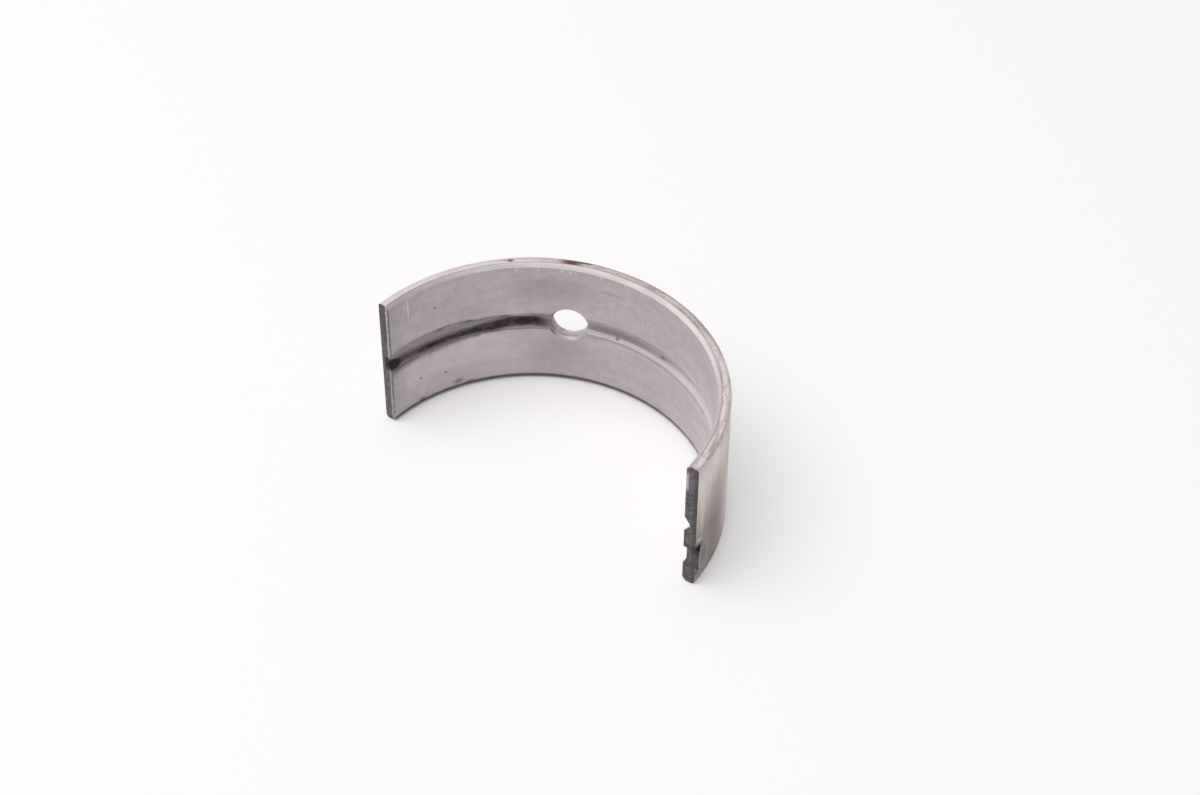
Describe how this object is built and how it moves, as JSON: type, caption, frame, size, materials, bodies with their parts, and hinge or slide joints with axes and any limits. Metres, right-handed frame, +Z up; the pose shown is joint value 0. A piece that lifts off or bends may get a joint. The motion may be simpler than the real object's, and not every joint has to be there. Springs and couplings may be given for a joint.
{
  "type": "engine main bearing shell",
  "caption": "Half-round plain bearing shell with an oil groove along its bore, an oil feed hole and a locating tang at one end.",
  "frame": {"origin": "on the bore axis, at half the shell's width", "axes": "+Z up along the bore axis, +Y from the bore axis to the crown, +X towards the end with the locating tang"},
  "size_m": [0.058, 0.0277, 0.023],
  "materials": {
    "shell_metal": "satin steel strip with a dull grey bearing lining, used, oil stained in the groove"
  },
  "bodies": {
    "root": {"bearing_shell": "shell_metal"}
  },
  "joints": []
}
